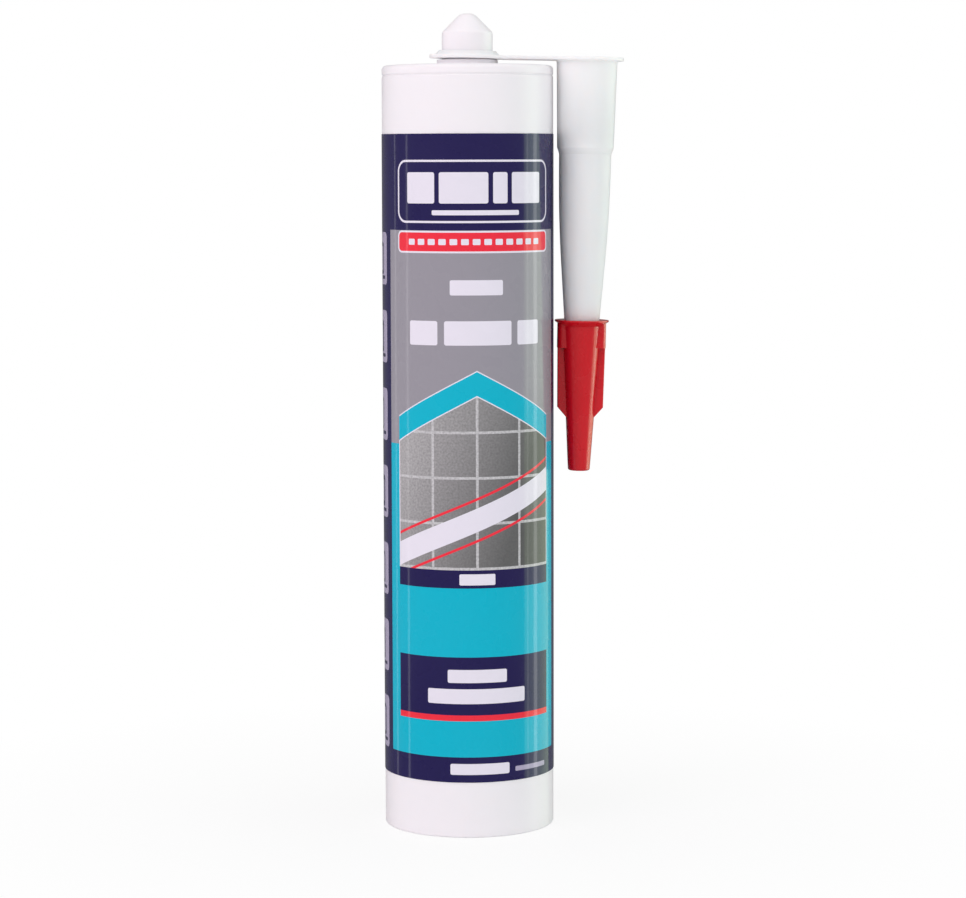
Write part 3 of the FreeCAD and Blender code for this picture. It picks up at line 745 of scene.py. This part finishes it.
@dataclass
class Barrel:
    """The barrel with its head and closed neck, one white moulding.

    Attributes:
        wall: Wall of the barrel.
        mouth_depth: Length of the wider stretch at the open end.
        mouth_relief: How much wider it is, on the radius.
        mouth_taper: Length over which it narrows.
        shoulder_up: Open end to shoulder.
        dish: How far the head lies below its rim.
        rim_width: Width of the head's rim.
        head_wall: Thickness of the head.
        groove_drop: Shoulder to the ring groove.
        groove_width: Width of the groove.
        groove_depth: Depth of the groove.
        seat_radius: Radius of the collar round the neck's foot.
        seat_up: Top of that collar above the shoulder.
        neck_radius: Radius of the neck.
        neck_wall: Wall of the neck.
        nose_height: Height of the closed nose.
        nose_flat: Radius of the nose's top before rounding.
    """

    wall: float = 1.35 * MM
    mouth_depth: float = 17.0 * MM
    mouth_relief: float = 0.25 * MM
    mouth_taper: float = 2.0 * MM
    shoulder_up: float = 221.2 * MM
    dish: float = 1.2 * MM
    rim_width: float = 3.2 * MM
    head_wall: float = 1.9 * MM
    groove_drop: float = 2.9 * MM
    groove_width: float = 0.9 * MM
    groove_depth: float = 0.3 * MM
    seat_radius: float = 8.8 * MM
    seat_up: float = 1.7 * MM
    neck_radius: float = 7.33 * MM
    neck_wall: float = 1.5 * MM
    nose_height: float = 5.4 * MM
    nose_flat: float = 1.93 * MM

    def outline(self) -> list[Point]:
        """The wall's section, from the nose's top down the outside and up the inside."""
        low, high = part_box("barrel")
        radius = high.x
        bore = radius - self.wall
        mouth = bore + self.mouth_relief
        top = high.z
        shoulder = self.shoulder_up
        floor = shoulder - self.dish
        groove = shoulder - self.groove_drop
        half_groove = self.groove_width / 2
        nose = top - self.nose_height
        neck_bore = self.neck_radius - self.neck_wall
        seat = shoulder + self.seat_up
        return rounded([
            (0.0, top, 0.0),
            (self.nose_flat, top, 3.0 * MM),
            (self.neck_radius, nose, 1.6 * MM),
            (self.neck_radius, seat, 0.25 * MM),
            (self.seat_radius, seat, 0.4 * MM),
            (self.seat_radius, floor, 0.8 * MM),
            (radius - self.rim_width, floor, 0.5 * MM),
            (radius - self.rim_width, shoulder, 0.4 * MM),
            (radius, shoulder, 1.3 * MM),
            (radius, groove + half_groove, 0.15 * MM),
            (radius - self.groove_depth, groove, 0.1 * MM),
            (radius, groove - half_groove, 0.15 * MM),
            (radius, low.z, 0.4 * MM),
            (mouth, low.z, 0.25 * MM),
            (mouth, self.mouth_depth, 1.0 * MM),
            (bore, self.mouth_depth + self.mouth_taper, 1.0 * MM),
            (bore, floor - self.head_wall, 0.8 * MM),
            (neck_bore, floor - self.head_wall, 0.5 * MM),
            (neck_bore, nose - self.neck_wall / 2, 0.0),
            (1.3 * MM, top - self.neck_wall, 0.0),
            (0.0, top - self.neck_wall, 0.0),
        ])

    def build(self, effects: Effects) -> bpy.types.Object:
        """Build the barrel in white plastic and return it."""
        finish = Moulding(
            name="barrel_white", colour=srgb(247, 243, 247), shade=srgb(243, 240, 244), roughness=0.3,
            rubbed=0.38, sink_scale=28.0, relief=0.02 * MM, glow=0.25, depth=1.6 * MM, shine=0.25,
        )
        piece = lathe("barrel_moulding", self.outline(), finish.material(effects))
        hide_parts("barrel")
        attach(piece, "cartridge")
        return piece


@dataclass
class Label:
    """The printed film wrapped round the barrel, glued at a lap at the back.

    Attributes:
        thickness: Thickness of the film.
        lap: Width of the glued lap.
        lap_turn: Direction of the lap's outer edge, in degrees from +X towards +Y.
        ramp: Width over which the film climbs onto itself.
    """

    thickness: float = 0.12 * MM
    lap: float = 6.0 * MM
    lap_turn: float = 100.0
    ramp: float = 0.6 * MM

    def build(self, effects: Effects) -> bpy.types.Object:
        """Build the film as one overlapping sheet and return it."""
        low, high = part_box("label")
        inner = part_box("barrel")[1].x + 0.01 * MM
        extra = self.lap / inner
        climb = self.ramp / inner
        start = math.radians(self.lap_turn)
        steps = 384
        total = 2 * math.pi + extra
        places: list[tuple] = []
        for step in range(steps + 1):
            along = total * step / steps
            lift = min(max((along - (2 * math.pi - climb)) / climb, 0.0), 1.0) * self.thickness
            for radius in (inner + lift, inner + lift + self.thickness):
                for up in (low.z, high.z):
                    turn = start + along
                    places.append((radius * math.cos(turn), radius * math.sin(turn), up))
        faces = [(0, 1, 3, 2)]
        for step in range(steps):
            here, after = 4 * step, 4 * (step + 1)
            for one, two in ((0, 1), (1, 3), (3, 2), (2, 0)):
                faces.append((here + two, here + one, after + one, after + two))
        end = 4 * steps
        faces.append((end + 2, end + 3, end + 1, end))
        film = PrintedFilm().material(effects, inner + self.thickness)
        piece = new_piece("label_wrap", places, faces, film)
        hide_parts("label")
        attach(piece, "cartridge")
        return piece


@dataclass
class Filling:
    """The paste in the barrel and the piston that follows it.

    Attributes:
        bevel: Width of the piston's bevel, which the paste follows.
        bevel_up: Height of that bevel.
        top_round: Rounding of the paste's upper edge.
        head_inside: Height of the inside of the head; not used.
    """

    bevel: float = 3.3 * MM
    bevel_up: float = 2.2 * MM
    top_round: float = 0.8 * MM
    head_inside: float = 218.1 * MM

    def build_paste(self, effects: Effects) -> bpy.types.Object:
        """Build the paste and return it."""
        low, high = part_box("sealant")
        crown = low.z + self.bevel_up
        outline = rounded([
            (0.0, high.z, 0.0),
            (high.x, high.z, self.top_round),
            (high.x, low.z, 0.0),
            (high.x - self.bevel, crown, 0.0),
            (0.0, crown, 0.0),
        ])
        finish = Moulding(
            name="sealant_paste", colour=srgb(238, 236, 230), shade=srgb(230, 228, 222), roughness=0.45, rubbed=0.55,
        )
        piece = lathe("sealant_paste", outline, finish.material(effects), steps=96)
        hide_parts("sealant")
        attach(piece, "cartridge")
        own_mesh(piece)
        return piece

    def dress_piston(self, effects: Effects) -> bpy.types.Object:
        """Give the piston its plastic and return it."""
        finish = Moulding(
            name="piston_white", colour=srgb(228, 228, 224), shade=srgb(220, 221, 218), roughness=0.42,
            rubbed=0.52, glow=0.3, depth=1.5 * MM,
        )
        return dress("piston", finish.material(effects))


@dataclass
class Spout:
    """The hung nozzle and its red cap."""

    def dress_nozzle(self, effects: Effects) -> bpy.types.Object:
        """Give the nozzle its translucent plastic and return it."""
        finish = Moulding(
            name="nozzle_natural", colour=srgb(253, 253, 253), shade=srgb(251, 252, 252), roughness=0.3,
            rubbed=0.36, sink_scale=24.0, relief=0.006 * MM, glow=1.0, depth=2.2 * MM, shine=0.2,
        )
        return dress("nozzle", finish.material(effects))

    def dress_cap(self, effects: Effects) -> bpy.types.Object:
        """Give the cap its glossy red plastic and return it."""
        finish = Moulding(
            name="cap_red", colour=srgb(216, 14, 32), shade=srgb(206, 12, 28), roughness=0.24, rubbed=0.32,
            sink_scale=40.0, relief=0.01 * MM, glow=0.12, depth=0.8 * MM, coat=0.5, shine=0.45,
        )
        return dress("nozzle_cap", finish.material(effects))


class Task(Enum):
    """What a lamp is there for."""

    LIGHT = "lights the cartridge and isn't mirrored in it"
    MIRRORED = "is only seen in reflections, as a bright card is"


@dataclass(frozen=True)
class Lamp:
    """A soft rectangular lamp that faces the cartridge.

    Attributes:
        name: The lamp's name.
        task: Whether it lights the cartridge or is mirrored in it.
        turn: Direction it stands in, in degrees from the front towards +X.
        distance: Distance from the barrel's axis.
        up: Height of its centre.
        width: Its width.
        height: Its height.
        power: Its power in watts.
        tint: Its colour.
    """

    name: str
    task: Task
    turn: float
    distance: float
    up: float
    width: float
    height: float
    power: float
    tint: Colour = (1.0, 1.0, 1.0)


@dataclass
class Studio:
    """Floor, white surroundings, soft lamps and the camera.

    Attributes:
        lens: Focal length in millimetres on a 36 mm wide image.
        camera_place: Where the camera stands.
        pitch: How far it looks down, in degrees.
        roll: How far it is rolled, in degrees.
        surround: Light from all round, where a white surface looks white at 1.
        sheen: Brightness of the surroundings as glossy surfaces show them.
        floor_opening: Radius of the hole under the bore, which lets light into it.
        floor_reach: Radius of the floor.
        floor_steps: Number of steps round the floor.
    """

    lens: float = 111.74
    camera_place: tuple[float, float, float] = (4.235 * MM, -872.32 * MM, 194.73 * MM)
    pitch: float = 5.548
    roll: float = -0.152
    surround: float = 0.7
    sheen: float = 0.2
    floor_opening: float = 23.0 * MM
    floor_reach: float = 12.0
    floor_steps: int = 96
    lamps: tuple[Lamp, ...] = (
        Lamp("left_softbox", Task.LIGHT, -46.0, 1.5, 0.9, 0.9, 1.3, 8.5, (1.0, 0.86, 0.93)),
        Lamp("front_softbox", Task.LIGHT, -12.0, 1.6, 1.0, 0.9, 0.9, 0.7),
        Lamp("top_softbox", Task.LIGHT, 0.0, 0.3, 1.7, 0.9, 0.9, 2.4),
        Lamp("right_softbox", Task.LIGHT, 72.0, 1.5, 0.6, 0.9, 1.3, 3.6, (0.84, 1.0, 0.95)),
        Lamp("right_card", Task.MIRRORED, 108.0, 0.95, 0.1, 1.0, 1.2, 5.4, (0.78, 1.0, 0.62)),
        Lamp("right_high_card", Task.MIRRORED, 108.0, 0.95, 0.5, 1.0, 1.0, 2.2, (0.72, 1.0, 0.8)),
        Lamp("right_strip", Task.MIRRORED, 101.0, 0.8, 0.1, 0.1, 1.2, 1.0),
        Lamp("right_thin_strip", Task.MIRRORED, 86.0, 0.8, 0.1, 0.03, 1.2, 0.2),
        Lamp("left_strip", Task.MIRRORED, -88.0, 0.9, 0.1, 0.05, 1.2, 0.4),
        Lamp("left_thin_strip", Task.MIRRORED, -113.0, 0.9, 0.1, 0.04, 1.2, 0.25),
    )

    def build_world(self) -> None:
        """White surroundings for the camera, softer for what they light."""
        world = bpy.data.worlds.new("studio")
        world.use_nodes = True
        bpy.context.scene.world = world
        graph = Graph(world.node_tree)
        background = world.node_tree.nodes["Background"]
        background.inputs["Color"].default_value = (1.0, 1.0, 1.0, 1.0)
        path = graph.node("ShaderNodeLightPath")
        seen = graph.math("MAXIMUM", path.outputs["Is Camera Ray"], path.outputs["Is Transmission Ray"])
        glossy = graph.span(path.outputs["Is Glossy Ray"], 0.0, 1.0, self.surround, self.sheen)
        graph.feed(background.inputs["Strength"], graph.span(seen, 0.0, 1.0, glossy, 1.0))

    def build_floor(self) -> bpy.types.Object:
        """A pale floor that keeps the shadow, fades to white and is see-through in reflections and from below."""
        mesh = bpy.data.meshes.new("floor")
        steps = self.floor_steps
        turns = [math.tau * step / steps for step in range(steps)]
        rings = [
            (radius * math.cos(turn), radius * math.sin(turn), 0.0)
            for radius in (self.floor_opening, self.floor_reach)
            for turn in turns
        ]
        nexts = [(step, (step + 1) % steps) for step in range(steps)]
        mesh.from_pydata(rings, [], [(a, a + steps, b + steps, b) for a, b in nexts])
        floor = bpy.data.objects.new("floor", mesh)
        bpy.context.scene.collection.objects.link(floor)
        material, graph, shader = new_material("floor")
        graph.feed(shader.inputs["Base Color"], (0.93, 0.93, 0.93))
        shader.inputs["Roughness"].default_value = 0.6
        shader.inputs["Specular IOR Level"].default_value = 0.2
        place = graph.node("ShaderNodeTexCoord").outputs["Object"]
        reach = graph.node("ShaderNodeVectorMath", operation="LENGTH")
        graph.feed(reach.inputs[0], place)
        path = graph.node("ShaderNodeLightPath")
        white = graph.node("ShaderNodeEmission")
        far = graph.span(reach.outputs["Value"], 0.03, 0.2, 0.82, 1.0)
        both = graph.node("ShaderNodeMixShader")
        graph.feed(both.inputs[0], graph.math("MULTIPLY", far, path.outputs["Is Camera Ray"]))
        graph.feed(both.inputs[1], shader.outputs[0])
        graph.feed(both.inputs[2], white.outputs[0])
        clear = graph.node("ShaderNodeBsdfTransparent")
        below = graph.node("ShaderNodeNewGeometry").outputs["Backfacing"]
        seen = graph.node("ShaderNodeMixShader")
        graph.feed(seen.inputs[0], graph.math("MAXIMUM", path.outputs["Is Glossy Ray"], below))
        graph.feed(seen.inputs[1], both.outputs[0])
        graph.feed(seen.inputs[2], clear.outputs[0])
        graph.feed(material.node_tree.nodes["Material Output"].inputs["Surface"], seen.outputs[0])
        mesh.materials.append(material)
        return floor

    def hang_lamp(self, lamp: Lamp) -> bpy.types.Object:
        """Hang one lamp so that it faces the cartridge's middle and return it."""
        data = bpy.data.lights.new(lamp.name, "AREA")
        data.shape = "RECTANGLE"
        data.size = lamp.width
        data.size_y = lamp.height
        data.energy = lamp.power
        data.color = lamp.tint
        piece = bpy.data.objects.new(lamp.name, data)
        turn = math.radians(lamp.turn)
        piece.location = (lamp.distance * math.sin(turn), -lamp.distance * math.cos(turn), lamp.up)
        aim = Vector((0.0, 0.0, 0.1)) - Vector(piece.location)
        piece.rotation_euler = aim.to_track_quat("-Z", "Y").to_euler()
        lights = lamp.task is Task.LIGHT
        piece.visible_diffuse = lights
        piece.visible_transmission = lights
        piece.visible_glossy = not lights
        bpy.context.scene.collection.objects.link(piece)
        return piece

    def place_camera(self) -> bpy.types.Object:
        """Place the camera where the photograph was taken from and return it."""
        data = bpy.data.cameras.new("camera")
        data.lens = self.lens
        data.sensor_width = 36.0
        camera = bpy.data.objects.new("camera", data)
        level = Matrix.Rotation(math.radians(90 - self.pitch), 4, "X")
        rolled = Matrix.Rotation(math.radians(self.roll), 4, "Z")
        camera.matrix_world = Matrix.Translation(self.camera_place) @ level @ rolled
        bpy.context.scene.collection.objects.link(camera)
        bpy.context.scene.camera = camera
        return camera

    def build(self) -> None:
        """Set up the whole studio."""
        bpy.context.scene.view_settings.view_transform = "Standard"
        self.build_world()
        self.build_floor()
        for lamp in self.lamps:
            self.hang_lamp(lamp)
        self.place_camera()


def main() -> None:
    """Build every sub-assembly in order, then the studio."""
    logging.basicConfig(level=logging.INFO, format="%(name)s: %(message)s")
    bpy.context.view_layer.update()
    effects = Effects()
    filling = Filling()
    spout = Spout()
    pieces = [
        Barrel().build(effects),
        Label().build(effects),
        filling.build_paste(effects),
        filling.dress_piston(effects),
        spout.dress_nozzle(effects),
        spout.dress_cap(effects),
    ]
    for piece in pieces:
        LOG.info("%s: %d faces", piece.name, len(piece.data.polygons))
    Studio().build()


if __name__ == "__main__":
    main()
